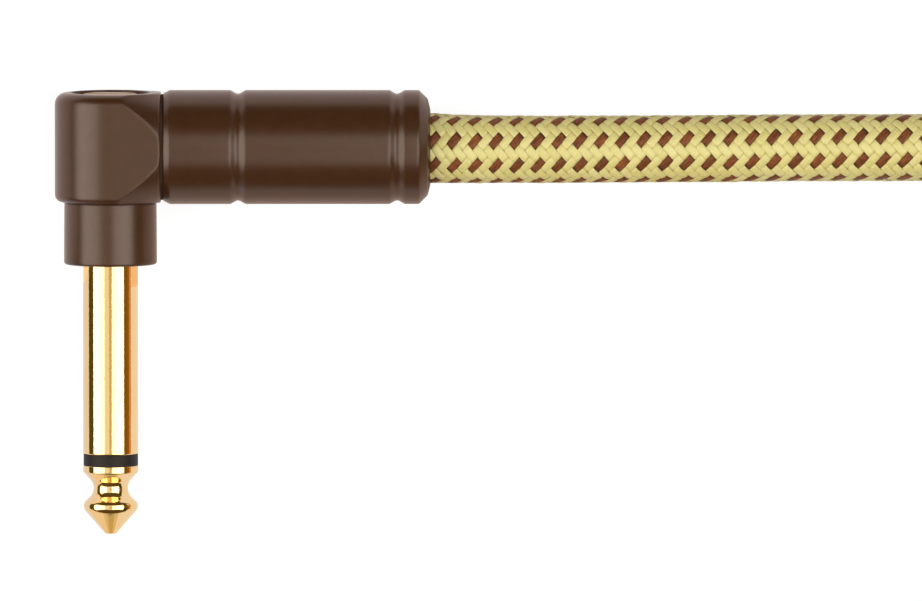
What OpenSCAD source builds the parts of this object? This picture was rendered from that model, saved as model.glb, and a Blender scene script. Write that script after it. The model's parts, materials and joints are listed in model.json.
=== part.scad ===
// Instrument cable: a braided lead with a right-angle quarter-inch plug on one end and a straight one on the
// other, coiled for storage. The angle plug lies on its side with its shaft along -Y and its barrel along +X.
// The origin is the middle of the angle plug's footprint, on the surface that everything lies on.

/* [Jack plug] */
// Diameter of the plug's shaft
shaft_d = 6.35; // [6.2:0.05:6.5]
// Length of the sleeve contact outside the shoulder
sleeve_len = 21.8; // [20:0.1:22]
// Diameter of the sleeve's shank, inside the collar and the head
shank_d = 5.9; // [5.6:0.05:6]
// Width of the black ring between sleeve and tip
ring_w = 1.3; // [0.8:0.1:1.8]
// Diameter of the black ring
ring_d = 6.25; // [6.25:0.01:6.35]
// Length of the tip's full-width land next to the ring
land_len = 0.75; // [0.5:0.05:1.2]
// Distance from the land's end to the middle of the neck
neck_run = 1.8; // [1.3:0.05:2]
// Diameter of the neck that the socket's spring drops into
neck_d = 3.8; // [3.6:0.1:4.4]
// Distance from the middle of the neck to the bulge's widest line
bulge_run = 2.1; // [1.9:0.1:2.8]
// Diameter of the tip's bulge
bulge_d = 6.25; // [6:0.05:6.3]
// Distance from the bulge's widest line to the end of the tip
nose_len = 3.25; // [3:0.05:4]
// Diameter of the flat on the end of the tip
nose_d = 1.1; // [0.6:0.1:1.6]
// Diameter of the rod that joins the tip to its solder lug
rod_d = 2.4; // [2:0.1:2.8]
// Wall of the insulating tube round the rod
rod_tube_wall = 0.75; // [0.5:0.05:0.9]
// Thickness of the insulating washer behind the sleeve
washer_t = 1; // [0.6:0.1:1.4]
// Thickness of the tip's solder lug
lug_t = 0.5; // [0.4:0.1:0.8]

/* [Angle head] */
// Thickness of the head between its flat sides
head_t = 12.7; // [12:0.1:14]
// Height of the head along the plug's axis
head_h = 12.5; // [11.5:0.1:13.5]
// Distance from the plug's axis to the head's joint face
head_reach = 5.77; // [5.5:0.01:7]
// Radius of the rim round the head's outer end
rim_top_r = 1.3; // [0.5:0.1:1.8]
// Radius of the rim next to the collar
rim_low_r = 0.8; // [0.3:0.1:1.2]
// Diameter of the turned cone at the head's joint face
cone_d = 12.9; // [12.8:0.1:13.6]
// Widening of the turned cone's radius for each millimetre away from the joint
cone_slope = 0.44; // [0.35:0.01:0.6]
// Radius of the cone's edge at the joint face
joint_edge_r = 0.3; // [0.2:0.05:0.6]
// Diameter of the collar at the shoulder
collar_d = 10.65; // [9.5:0.05:11.5]
// Narrowing of the collar's diameter towards the head
collar_draft = 0.1; // [0:0.05:0.6]
// Length of the collar
collar_len = 7.15; // [5:0.05:9]
// Thickness of the head's floor that holds the sleeve
floor_t = 3.05; // [2.5:0.05:4]
// Diameter of the chamber round the tip's solder lug
chamber_d = 6.7; // [6.7:0.1:7.4]
// Diameter of the recess that the access cap sits in
recess_d = 9; // [8.4:0.1:9.4]
// Depth of that recess
recess_depth = 0.6; // [0.5:0.1:1.6]
// Thickness of the access cap
cap_t = 1.8; // [1.4:0.1:2.2]
// Height of the access cap's face above the recess
cap_proud = 0.45; // [0.2:0.05:0.5]
// Width of the cap's screwdriver slot
slot_w = 0.9; // [0.6:0.1:1.2]
// Depth of the cap's screwdriver slot
slot_depth = 0.8; // [0.5:0.1:1]
// Thickness of the insulating disc under the cap
cap_disc_t = 0.5; // [0.3:0.1:0.8]

/* [Barrel] */
// Wall of the barrel outside its threaded bore
barrel_wall = 1.225; // [1:0.005:1.6]
// Length of the angle plug's barrel
barrel_len = 30.55; // [28:0.05:40]
// Width of the dark seal between head and barrel
seal_w = 0.28; // [0.2:0.02:0.6]
// Depth of the gap outside that seal
seal_inset = 0.475; // [0.2:0.025:0.8]
// Wall of the threaded spigot that the barrel screws on
spigot_wall = 0.63; // [0.5:0.01:0.9]
// Length of the spigot past the joint face
spigot_len = 5.8; // [5:0.1:7]
// Distance from the barrel's front to the middle of its first groove
groove_front = 8.55; // [6:0.05:10]
// Distance from the middle of its second groove to the barrel's rear
groove_rear = 3.7; // [3:0.1:5]
// Width of a groove
groove_w = 1.75; // [1.2:0.05:2.4]
// Depth of a groove
groove_depth = 0.37; // [0.2:0.01:0.45]
// Length of the bevel at the barrel's rear
bevel_len = 1; // [0.6:0.1:1.5]
// Rise of the barrel's rear face from the bevel to the cable
rear_dome = 0.3; // [0.1:0.05:0.5]
// Thickness of the barrel's rear wall
rear_wall = 2.2; // [1.6:0.1:3]
// Wall of the insulating liner
liner_wall = 0.4; // [0.2:0.05:0.4]

/* [Cable] */
// Diameter over the woven cover
cable_d = 7.8; // [7.2:0.1:7.9]
// Diameter over the shield, under the jacket
shield_d = 4.9; // [4.4:0.1:5.4]
// Diameter of the core's insulation
core_d = 3.2; // [2.6:0.1:3.4]
// Diameter of the core's conductor
wire_d = 1; // [0.6:0.1:1.2]
// Diameter of the shield's twisted pigtail
pigtail_d = 1.2; // [0.8:0.1:1.4]
// Thickness of the sleeve terminal's sheet
terminal_t = 0.68; // [0.5:0.02:0.7]
// Length of the crimp that grips the jacket
crimp_len = 5; // [4:0.5:7]

/* [Coil] */
// Diameter of the coil at the middle of its turns
coil_mid_d = 78; // [78:1:88]
// Layers of turns on top of each other
coil_layers = 4; // [2:2:4]
// Turns of the whole coil
coil_turns = 11.5; // [9.5:1:11.5]
// Space left between neighbouring turns
turn_gap = 0.5; // [0.45:0.05:1]
// Distance from the origin to the coil's middle along the lead
coil_x = 136; // [134:1:150]
// Width of the hook-and-loop tie
tie_w = 16; // [12:1:20]
// Thickness of the tie
tie_t = 1; // [0.8:0.1:1.6]
// Direction of the tie from the coil's middle
tie_angle = -45; // [-60:5:20]

/* [Far plug] */
// Length of the straight plug's barrel
far_barrel_len = 34; // [34:0.5:38]
// Length of the straight plug's flange between collar and joint
flange_len = 3.25; // [3.25:0.05:4]
// Diameter of that flange
flange_d = 12.8; // [12.4:0.1:13]

/* [Fits] */
// Radial clearance of a thread or a turning part
thread_gap = 0.05; // [0.03:0.01:0.08]
// Radial clearance of pieces that are pressed, crimped or soldered together
press_gap = 0.02; // [0.01:0.01:0.04]
// Clearance of the cable in the barrel's rear bore
cable_gap = 0.25; // [0.2:0.05:0.35]

/* [Hidden] */

$fn = 96;
arc_step = 15;
eps = 0.01;

housing_brown = [0.34, 0.26, 0.21];
gold = [0.93, 0.76, 0.42];
ring_black = [0.17, 0.15, 0.14];
yarn_yellow = [0.82, 0.77, 0.48];
tie_black = [0.12, 0.12, 0.13];
fibre_white = [0.86, 0.84, 0.78];
copper = [0.80, 0.48, 0.32];
solder_grey = [0.68, 0.69, 0.71];

// Places along the plug shaft, measured from its shoulder towards the tip.
land_start = sleeve_len + ring_w;
land_end = land_start + land_len;
neck_at = land_end + neck_run;
bulge_at = neck_at + bulge_run;
plug_len = bulge_at + nose_len;
neck_half = 0.45;
neck_round = 0.85;
bulge_round = 0.6;
sleeve_back = collar_len + floor_t;
washer_back = sleeve_back + washer_t;
lug_back = washer_back + lug_t;
rivet_r = 1.7;
rivet_h = 0.6;
rivet_back = lug_back + rivet_h;
rod_tube_d = rod_d + 2 * rod_tube_wall;

// Radii that mating pieces share, from the cable outwards.
shank_bore_r = shank_d / 2 + press_gap;
rod_bore_r = rod_d / 2 + press_gap;
rear_bore_r = cable_d / 2 + cable_gap;
terminal_r = cable_d / 2 + press_gap;
spigot_bore_r = terminal_r + terminal_t + press_gap;
spigot_r = spigot_bore_r + spigot_wall;
barrel_bore_r = spigot_r + thread_gap;
barrel_d = 2 * (barrel_bore_r + barrel_wall);
liner_r = barrel_bore_r - thread_gap;
cap_r = chamber_d / 2 - thread_gap;
wire_way_r = 3.1;
lug_r = 2.5;
tab_w = 2;

// Places along a barrel's axis, measured from the joint face of the piece that it screws on.
liner_front = spigot_len + 0.6;
jacket_front = 13;
shield_front = 12;
crimp_front = 17.5;
pigtail_end = 8.5;
seat_start = 0.5;
seat_end = 3.5;
core_front = 3.5;
far_core_front = 10;
bend_front = 6.4;
wire_front = 3;
strip_w = 3.2;
crimp_slot = 1;
barrel_rear = seal_w + barrel_len;
far_rear = seal_w + far_barrel_len;

// The angle plug about the origin.
barrel_end = head_reach + barrel_rear;
plug_reach = head_h / 2 + collar_len + plug_len;
plug_x = (head_t / 2 - barrel_end) / 2;
barrel_y = (plug_reach - head_h / 2) / 2;
shoulder_y = barrel_y - head_h / 2 - collar_len;
axis_z = barrel_d / 2;
joint_x = plug_x + head_reach;
exit_x = plug_x + barrel_end;

// The coil lies on its tie, and the lead runs straight into its outermost turn.
turn_pitch = cable_d + turn_gap;
layer_turns = coil_turns / coil_layers;
outer_r = coil_mid_d / 2 + layer_turns * turn_pitch / 2;
inner_r = outer_r - layer_turns * turn_pitch;
coil_y = barrel_y - outer_r;
coil_z = tie_t + cable_d / 2;
coil_top_z = coil_z + (coil_layers - 1) * turn_pitch;
coil_sides = 6;
rings_per_turn = 24;
lead_sides = 10;

// Distance and height of the lead's axis, from the barrel's rear to the start of the coil.
lead_route = [
    [0, axis_z], [10, axis_z], [18, 6.3], [26, 5.7], [34, 5], [42, 4.4], [52, 4], [62, 3.95],
    [76, 4], [90, 4.4], [98, coil_z], [coil_x - cable_d - exit_x, coil_z]
];

// Distance back along X, sideways drift and height of the tail's axis, from the coil's end to the far barrel.
tail_reach = 78;
tail_drift = 5;
tail_route = [
    [0, 0, coil_top_z], [3, 0, coil_top_z], [8, 0.1, 29.3], [14, 0.4, 28], [21, 0.9, 25.4], [28, 1.6, 22.2],
    [35, 2.5, 18.6], [42, 3.3, 15], [49, 4, 11.6], [55, 4.5, 8.9], [61, 4.8, 7], [66, tail_drift, axis_z],
    [tail_reach, tail_drift, axis_z]
];
tail_x = coil_x - cable_d;
tail_y = coil_y - outer_r;
far_y = tail_y + tail_drift;
far_joint_x = tail_x - tail_reach - far_rear;
far_shoulder_x = far_joint_x - flange_len - collar_len;

function unit(v) = v / norm(v);
function cross_z(u, v) = u.x * v.y - u.y * v.x;
function turned(v, a) = [v.x * cos(a) - v.y * sin(a), v.x * sin(a) + v.y * cos(a)];

// The corner b of an outline, between its neighbours a and c, rounded to radius r.
function corner(a, b, c, r) =
    let (u = unit(a - b), v = unit(c - b), half = acos(u * v) / 2)
    let (middle = b + unit(u + v) * r / sin(half))
    let (from = b + u * r / tan(half) - middle, to = b + v * r / tan(half) - middle)
    let (sweep = 2 * (90 - half), steps = ceil(sweep / arc_step), way = sign(cross_z(from, to)))
    [for (i = [0 : steps]) middle + turned(from, way * sweep * i / steps)];

// A closed outline from points [x, y] or [x, y, radius of its rounded corner].
function outline(points) =
    let (n = len(points))
    let (flat = [for (p = points) [p.x, p.y]])
    [for (i = [0 : n - 1])
        each len(points[i]) < 3
            ? [flat[i]]
            : corner(flat[(i + n - 1) % n], flat[i], flat[(i + 1) % n], points[i][2])];

module turned_piece(points) rotate_extrude() polygon(outline(points));

module tube(r_out, r_in, from, to) {
    turned_piece([[r_in, from], [r_out, from], [r_out, to], [r_in, to]]);
}

// A round cord swept along a route: each ring lies square to the route there, with its first corner opposite up.
function heading(route, i) =
    unit(route[min(i + 1, len(route) - 1)] - route[max(i - 1, 0)]);
function ring(centre, ahead, r, sides, up) =
    let (side = unit(cross(ahead, up)), over = cross(side, ahead))
    [for (j = [0 : sides - 1]) centre + r * (sin(360 * j / sides) * side - cos(360 * j / sides) * over)];

module swept_cord(route, r, sides, up = [0, 0, 1]) {
    last = len(route) - 1;
    points = [for (i = [0 : last]) each ring(route[i], heading(route, i), r, sides, up)];
    walls = [
        for (i = [0 : last - 1], j = [0 : sides - 1])
            let (a = i * sides + j, b = i * sides + (j + 1) % sides)
            each [[a, b, a + sides], [b, b + sides, a + sides]]
    ];
    start_cap = [for (j = [1 : sides - 2]) [0, j + 1, j]];
    end_cap = [for (j = [1 : sides - 2]) [last * sides, last * sides + j, last * sides + j + 1]];
    polyhedron(points, concat(walls, start_cap, end_cap));
}

// Placing: a barrel's axis has z = 0 on the joint face and runs towards the cable, and a shaft's axis has z = 0
// on the shoulder and runs towards the tip.
module on_barrel_axis() translate([joint_x, barrel_y, axis_z]) rotate([0, 90, 0]) children();
module on_shaft_axis() translate([plug_x, shoulder_y, axis_z]) rotate([90, 0, 0]) children();
module on_far_barrel_axis() translate([far_joint_x, far_y, axis_z]) rotate([0, 90, 0]) children();
module on_far_shaft_axis() translate([far_shoulder_x, far_y, axis_z]) rotate([0, -90, 0]) children();

// Jack plug pieces, on a shaft's axis.
module sleeve_shape() {
    bore_r = rod_tube_d / 2 + press_gap;
    turned_piece([
        [bore_r, -sleeve_back], [shank_d / 2, -sleeve_back], [shank_d / 2, 0], [shaft_d / 2, 0],
        [shaft_d / 2, sleeve_len], [bore_r, sleeve_len]
    ]);
}

module tip_shape() {
    rear_r = shaft_d / 2;
    turned_piece([
        [0, -rivet_back], [rivet_r, -rivet_back, 0.3], [rivet_r, -lug_back], [rod_d / 2, -lug_back],
        [rod_d / 2, land_start], [rear_r, land_start], [rear_r, land_end, 0.25],
        [neck_d / 2, neck_at - neck_half, neck_round], [neck_d / 2, neck_at + neck_half, neck_round],
        [bulge_d / 2, bulge_at - 0.3, bulge_round], [bulge_d / 2, bulge_at + 0.25, bulge_round],
        [nose_d / 2, plug_len, 0.4], [0, plug_len]
    ]);
}

module ring_shape() tube(ring_d / 2, rod_bore_r, sleeve_len, land_start);

module rod_tube_shape() tube(rod_tube_d / 2, rod_bore_r, -sleeve_back, sleeve_len);

module washer_shape(r) tube(r, rod_bore_r, -washer_back, -sleeve_back);

module lug_ring_shape() tube(lug_r, rod_bore_r, -lug_back, -washer_back);

// Pieces inside and round a barrel, on the barrel's axis.
function groove(middle, r) = [
    [r, middle - groove_w / 2, 0.3], [r - groove_depth, middle - groove_w / 5, 0.4],
    [r - groove_depth, middle + groove_w / 5, 0.4], [r, middle + groove_w / 2, 0.3]
];

module barrel_shape(length) {
    r = barrel_d / 2;
    rear = seal_w + length;
    turned_piece(concat(
        [[barrel_bore_r, seal_w], [r - 0.38, seal_w, 0.15], [r, seal_w + 0.76, 0.5]],
        groove(seal_w + groove_front, r),
        groove(rear - groove_rear, r),
        [
            [r, rear - bevel_len - rear_dome, 0.3], [r - bevel_len, rear - rear_dome, 0.25], [rear_bore_r, rear],
            [rear_bore_r, rear - rear_wall], [barrel_bore_r, rear - rear_wall]
        ]
    ));
}

module liner_shape(length) {
    tube(liner_r, liner_r - liner_wall, liner_front, seal_w + length - rear_wall - thread_gap);
}

module seal_shape() tube(barrel_d / 2 - seal_inset, barrel_bore_r, 0, seal_w);

// One formed sheet: a ring soldered into the spigot, a strip along the barrel and a crimp round the jacket.
module terminal_shape() {
    outer = terminal_r + terminal_t;
    tube(outer, terminal_r, seat_start, seat_end);
    intersection() {
        tube(outer, terminal_r, seat_end, crimp_front);
        translate([0, -strip_w / 2, seat_end]) cube([outer + 1, strip_w, crimp_front - seat_end]);
    }
    difference() {
        tube(outer, terminal_r, crimp_front, crimp_front + crimp_len);
        translate([-outer - 1, -crimp_slot / 2, crimp_front - eps])
            cube([outer + 1, crimp_slot, crimp_len + 1]);
    }
}

module jacket_shape(rear) tube(cable_d / 2, shield_d / 2 + press_gap, jacket_front, rear);

module shield_shape(rear) tube(shield_d / 2, core_d / 2 + press_gap, shield_front, rear);

module pigtail_shape() {
    lie_at = terminal_r - pigtail_d / 2 - press_gap;
    leave_at = core_d / 2 + pigtail_d / 2 + press_gap;
    swept_cord(
        [
            [leave_at, 0, shield_front], [leave_at, 0, shield_front - 0.5], [leave_at + 0.3, 0, shield_front - 1],
            [lie_at, 0, shield_front - 1.9], [lie_at, 0, pigtail_end]
        ],
        pigtail_d / 2, 8, [0, 1, 0]
    );
}

module ground_solder_shape() {
    outer = terminal_r - press_gap;
    intersection() {
        tube(outer, outer - 0.9, pigtail_end - 2, pigtail_end);
        translate([0, -1, pigtail_end - 3]) cube([outer + 1, 2, 4]);
    }
}

module core_shape(front, rear) tube(core_d / 2, wire_d / 2 + press_gap, front, rear);

module solder_drop(height) {
    turned_piece([[0, 0], [0.95, 0], [0.7, height * 0.6, 0.3], [0.3, height], [0, height]]);
}

// Angle plug

// A round-backed block with rounded rims, turned to a cone about the barrel's axis.
module head_blank() {
    side = head_t / 2;
    end = head_h / 2;
    intersection() {
        union() {
            rotate([90, 0, 0]) rotate([0, 0, 90])
                rotate_extrude(angle = 180)
                    polygon(outline([[0, -end], [side, -end, rim_top_r], [side, end, rim_low_r], [0, end]]));
            rotate([90, 0, 90]) linear_extrude(head_reach)
                polygon(outline([
                    [-end, -side, rim_low_r], [end, -side, rim_top_r], [end, side, rim_top_r], [-end, side, rim_low_r]
                ]));
        }
        rotate([0, 90, 0])
            turned_piece([
                [0, -head_t], [cone_d / 2 + cone_slope * (head_reach + head_t), -head_t],
                [cone_d / 2, head_reach, joint_edge_r], [0, head_reach]
            ]);
    }
}

module head_housing() {
    end = head_h / 2;
    color(housing_brown)
        translate([plug_x, barrel_y, axis_z])
            difference() {
                union() {
                    head_blank();
                    translate([head_reach - 1, 0, 0]) rotate([0, 90, 0]) cylinder(h = spigot_len + 1, r = spigot_r);
                }
                translate([0, end + eps, 0]) rotate([90, 0, 0]) cylinder(h = recess_depth + eps, d = recess_d);
                translate([0, end, 0]) rotate([90, 0, 0]) cylinder(h = head_h - floor_t, d = chamber_d);
                rotate([90, 0, 0]) cylinder(h = end + eps, r = shank_bore_r);
                rotate([0, 90, 0]) cylinder(h = head_reach + 1, r = wire_way_r);
                translate([head_reach, 0, 0]) rotate([0, 90, 0]) cylinder(h = spigot_len + eps, r = spigot_bore_r);
            }
}

module plug_collar() {
    color(housing_brown) on_shaft_axis() turned_piece([
        [shank_bore_r, -collar_len], [(collar_d - collar_draft) / 2, -collar_len], [collar_d / 2, 0, 0.3],
        [shank_bore_r, 0]
    ]);
}

module plug_sleeve() color(gold) on_shaft_axis() sleeve_shape();

module tip_contact() color(gold) on_shaft_axis() tip_shape();

module tip_ring() color(ring_black) on_shaft_axis() ring_shape();

module rod_insulator() color(fibre_white) on_shaft_axis() rod_tube_shape();

module rear_washer() color(fibre_white) on_shaft_axis() washer_shape(chamber_d / 2 - press_gap);

module tip_lug() {
    tab_reach = head_reach - 1.6;
    color(gold) on_shaft_axis() {
        difference() {
            union() {
                lug_ring_shape();
                translate([0, -tab_w / 2, -lug_back]) cube([tab_reach, tab_w, lug_t]);
            }
            translate([0, 0, -lug_back - eps]) cylinder(h = lug_t + 2 * eps, r = rod_bore_r);
        }
    }
}

module access_cap() {
    top = head_h / 2 - recess_depth + cap_proud;
    color(gold)
        translate([plug_x, barrel_y + top, axis_z]) rotate([90, 0, 0])
            difference() {
                turned_piece([[0, 0], [cap_r, 0, 0.25], [cap_r, cap_t], [0, cap_t]]);
                translate([-cap_r - 1, -slot_w / 2, -eps]) cube([2 * cap_r + 2, slot_w, slot_depth + eps]);
            }
}

module cap_disc() {
    top = head_h / 2 - recess_depth + cap_proud - cap_t;
    color(fibre_white)
        translate([plug_x, barrel_y + top, axis_z]) rotate([90, 0, 0]) cylinder(h = cap_disc_t, r = cap_r);
}

module joint_seal() color(ring_black) on_barrel_axis() seal_shape();

module barrel() color(housing_brown) on_barrel_axis() barrel_shape(barrel_len);

module barrel_liner() color(fibre_white) on_barrel_axis() liner_shape(barrel_len);

module sleeve_terminal() color(gold) on_barrel_axis() terminal_shape();

module cable_end() color(yarn_yellow) on_barrel_axis() jacket_shape(barrel_rear);

module cable_shield() color(copper) on_barrel_axis() shield_shape(barrel_rear);

module shield_pigtail() color(copper) on_barrel_axis() pigtail_shape();

module core_insulation() color(fibre_white) on_barrel_axis() core_shape(core_front, barrel_rear);

// From the rear of the barrel along its axis, then down onto the tip's lug.
module core_conductor() {
    lug_y = shoulder_y + lug_back;
    land_x = plug_x + 3.1;
    color(copper) swept_cord(
        [
            [exit_x, barrel_y, axis_z], [plug_x + 5, barrel_y, axis_z], [plug_x + 4.2, barrel_y - 0.15, axis_z],
            [plug_x + 3.5, barrel_y - 0.5, axis_z], [land_x, barrel_y - 1.1, axis_z], [land_x, lug_y, axis_z]
        ],
        wire_d / 2, 8
    );
}

module tip_solder() {
    lug_y = shoulder_y + lug_back;
    color(solder_grey)
        translate([plug_x + 3.1, lug_y, axis_z]) rotate([-90, 0, 0])
            difference() {
                solder_drop(0.9);
                translate([0, 0, -eps]) cylinder(h = 2, r = wire_d / 2 + press_gap);
            }
}

module ground_solder() color(solder_grey) on_barrel_axis() ground_solder_shape();

// Cable

module cable_lead() {
    color(yarn_yellow)
        swept_cord([for (p = lead_route) [exit_x + p.x, barrel_y, p.y]], cable_d / 2, lead_sides);
}

// The coil's route: turns spiral in and out by one pitch a turn, and climb a layer in the half turn round each
// reversal. It starts and ends with a straight run of one cable diameter.
function coil_radius(t) =
    let (part = t / layer_turns, layer = min(floor(part), coil_layers - 1), done = part - layer)
    layer % 2 == 0 ? outer_r - (outer_r - inner_r) * done : inner_r + (outer_r - inner_r) * done;
function climbed(t, reversal) = min(1, max(0, (t - reversal + 0.25) / 0.5));
function coil_height(t) =
    coil_z + turn_pitch * [for (k = [0 : coil_layers - 1]) 1] *
        [for (k = [0 : coil_layers - 1]) k == 0 ? 0 : climbed(t, k * layer_turns)];
function coil_point(t) = [
    coil_x + coil_radius(t) * sin(360 * t), coil_y + coil_radius(t) * cos(360 * t), coil_height(t)
];
coil_steps = round(coil_turns * rings_per_turn);
coil_route = concat(
    [coil_point(0) - [cable_d, 0, 0]],
    [for (i = [0 : coil_steps]) coil_point(i / rings_per_turn)],
    [coil_point(coil_turns) - [cable_d, 0, 0]]
);

// The least distance between points of the coil that are more than half a turn apart, less the cable itself.
function far_apart(i) = [
    for (j = [i + rings_per_turn / 2 : 1 : len(coil_route) - 1]) norm(coil_route[i] - coil_route[j])
];
coil_gap = min([for (i = [0 : len(coil_route) - 1 - rings_per_turn / 2]) min(far_apart(i))]) - cable_d;
function run_length(route) =
    [for (i = [1 : len(route) - 1]) norm(route[i] - route[i - 1])] * [for (i = [1 : len(route) - 1]) 1];
echo(least_gap_in_coil = coil_gap, coil_length = run_length(coil_route));

module cable_coil() color(yarn_yellow) swept_cord(coil_route, cable_d / 2, coil_sides);

module cable_tail() {
    color(yarn_yellow)
        swept_cord([for (p = tail_route) [tail_x - p.x, tail_y + p.y, p.z]], cable_d / 2, lead_sides);
}

// The tie's loop round the bundle of turns, seen along the cable: x from the coil's middle and y up.
tie_slack = 0.3;
tie_in = sqrt(pow(inner_r - cable_d / 2, 2) - pow(tie_w / 2, 2)) - tie_slack;
tie_out = outer_r + cable_d / 2 + tie_slack;
tie_top = coil_top_z + cable_d / 2 + tie_slack;
function tie_outline(grow, r) = outline([
    [tie_in - grow, tie_t - grow, r], [tie_out + grow, tie_t - grow, r],
    [tie_out + grow, tie_top + grow, r], [tie_in - grow, tie_top + grow, r]
]);

module on_tie() translate([coil_x, coil_y, 0]) rotate([0, 0, tie_angle]) children();

module coil_tie() {
    color(tie_black) on_tie() rotate([90, 0, 0])
        linear_extrude(tie_w, center = true)
            difference() {
                polygon(tie_outline(tie_t, 3 + tie_t));
                polygon(tie_outline(0, 3));
            }
}

// The strap's free end, pressed down on the loop's top.
module tie_flap() {
    flap_len = 20;
    color(tie_black) on_tie()
        translate([(tie_in + tie_out - flap_len) / 2, -tie_w / 2, tie_top + tie_t])
            cube([flap_len, tie_w, tie_t]);
}

// Far plug

module far_body() {
    collar_front = -flange_len - collar_len;
    color(housing_brown) on_far_barrel_axis() turned_piece([
        [shank_bore_r, collar_front], [collar_d / 2, collar_front, 0.3], [(collar_d - collar_draft) / 2, -flange_len],
        [flange_d / 2, -flange_len, 0.6], [flange_d / 2, 0, 0.4], [spigot_r, 0], [spigot_r, spigot_len],
        [spigot_bore_r, spigot_len], [spigot_bore_r, 0], [chamber_d / 2, 0],
        [chamber_d / 2, floor_t - flange_len], [shank_bore_r, floor_t - flange_len]
    ]);
}

module far_sleeve() color(gold) on_far_shaft_axis() sleeve_shape();

module far_tip_contact() color(gold) on_far_shaft_axis() tip_shape();

module far_tip_ring() color(ring_black) on_far_shaft_axis() ring_shape();

module far_rod_insulator() color(fibre_white) on_far_shaft_axis() rod_tube_shape();

module far_rear_washer() color(fibre_white) on_far_shaft_axis() washer_shape(chamber_d / 2 - press_gap);

// The straight plug's lug has its tab bent back, beside the conductor.
far_tab_len = 5.2;
far_wire_x = lug_r - lug_t - wire_d / 2 - press_gap;
solder_half = 0.9;
module far_tip_lug() {
    color(gold) on_far_shaft_axis() {
        lug_ring_shape();
        translate([-lug_r, -tab_w / 2, -lug_back - far_tab_len]) cube([lug_t, tab_w, far_tab_len + eps]);
    }
}

module far_joint_seal() color(ring_black) on_far_barrel_axis() seal_shape();

module far_barrel() color(housing_brown) on_far_barrel_axis() barrel_shape(far_barrel_len);

module far_liner() color(fibre_white) on_far_barrel_axis() liner_shape(far_barrel_len);

module far_sleeve_terminal() color(gold) on_far_barrel_axis() terminal_shape();

module far_cable_end() color(yarn_yellow) on_far_barrel_axis() jacket_shape(far_rear);

module far_shield() color(copper) on_far_barrel_axis() shield_shape(far_rear);

module far_pigtail() color(copper) on_far_barrel_axis() pigtail_shape();

module far_core_insulation() color(fibre_white) on_far_barrel_axis() core_shape(far_core_front, far_rear);

module far_core_conductor() {
    bend_step = (far_core_front - bend_front) / 3;
    color(copper) on_far_barrel_axis() swept_cord(
        [
            [0, 0, far_rear], [0, 0, far_core_front - bend_step / 3],
            [far_wire_x / 5, 0, bend_front + 2 * bend_step], [far_wire_x * 4 / 5, 0, bend_front + bend_step],
            [far_wire_x, 0, bend_front], [far_wire_x, 0, wire_front]
        ],
        wire_d / 2, 8, [0, 1, 0]
    );
}

module far_tip_solder() {
    way_r = wire_d / 2 + press_gap;
    color(solder_grey) on_far_barrel_axis()
        difference() {
            translate([far_wire_x - solder_half, -solder_half, wire_front - 0.4])
                cube([lug_r - lug_t - far_wire_x + solder_half, 2 * solder_half, 3]);
            translate([far_wire_x, 0, 0]) cylinder(h = bend_front, r = way_r);
            translate([far_wire_x, -way_r, 0]) cube([lug_r, 2 * way_r, bend_front]);
        }
}

module far_ground_solder() color(solder_grey) on_far_barrel_axis() ground_solder_shape();

head_housing();
plug_collar();
plug_sleeve();
tip_contact();
tip_ring();
rod_insulator();
rear_washer();
tip_lug();
access_cap();
cap_disc();
joint_seal();
barrel();
barrel_liner();
sleeve_terminal();
cable_end();
cable_shield();
shield_pigtail();
core_insulation();
core_conductor();
tip_solder();
ground_solder();
cable_lead();
cable_coil();
cable_tail();
coil_tie();
tie_flap();
far_body();
far_sleeve();
far_tip_contact();
far_tip_ring();
far_rod_insulator();
far_rear_washer();
far_tip_lug();
far_joint_seal();
far_barrel();
far_liner();
far_sleeve_terminal();
far_cable_end();
far_shield();
far_pigtail();
far_core_insulation();
far_core_conductor();
far_tip_solder();
far_ground_solder();
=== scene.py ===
"""Instrument cable: a braided lead with an angled jack plug on one end and a straight one on the other."""

import json
from math import cos, pi, radians, sin, tan

import bmesh
import bpy
import numpy as np
from mathutils import Matrix, Vector


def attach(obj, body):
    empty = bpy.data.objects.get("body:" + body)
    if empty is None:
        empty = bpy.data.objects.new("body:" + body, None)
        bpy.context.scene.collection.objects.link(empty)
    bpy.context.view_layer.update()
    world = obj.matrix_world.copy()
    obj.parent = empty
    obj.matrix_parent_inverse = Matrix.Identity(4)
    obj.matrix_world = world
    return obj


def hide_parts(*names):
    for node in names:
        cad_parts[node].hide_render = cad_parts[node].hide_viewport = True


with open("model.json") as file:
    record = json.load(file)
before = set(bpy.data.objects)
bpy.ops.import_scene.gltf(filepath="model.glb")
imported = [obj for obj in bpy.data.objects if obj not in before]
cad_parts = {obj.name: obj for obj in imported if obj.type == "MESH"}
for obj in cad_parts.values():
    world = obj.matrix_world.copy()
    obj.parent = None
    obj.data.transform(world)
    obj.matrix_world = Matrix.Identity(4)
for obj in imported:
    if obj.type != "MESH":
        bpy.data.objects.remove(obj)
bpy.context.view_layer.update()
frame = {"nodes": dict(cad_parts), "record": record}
nodes = frame["nodes"]
rng = np.random.default_rng(7)

MM = 0.001

# Places of the CAD model, in millimetres.
PLUG_X = -15.125
BARREL_Y = 19.075
AXIS_Z = 6.525
EXIT_X = 21.475
CABLE_R = 3.9
COIL_X = 136.0
COIL_Y = -31.85625
OUTER_R = 50.93125
INNER_R = 27.06875
LAYER_TURNS = 2.875
TURNS = 11.5
TURN_PITCH = 8.3
COIL_Z = 4.9
COIL_TOP_Z = 29.8
TAIL_X = 128.2
TAIL_Y = -82.7875
FAR_Y = -77.7875
JOINT_X = -9.355
SHOULDER_Y = 5.675
FAR_JOINT_X = 15.92
FAR_SHOULDER_X = 5.52

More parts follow.
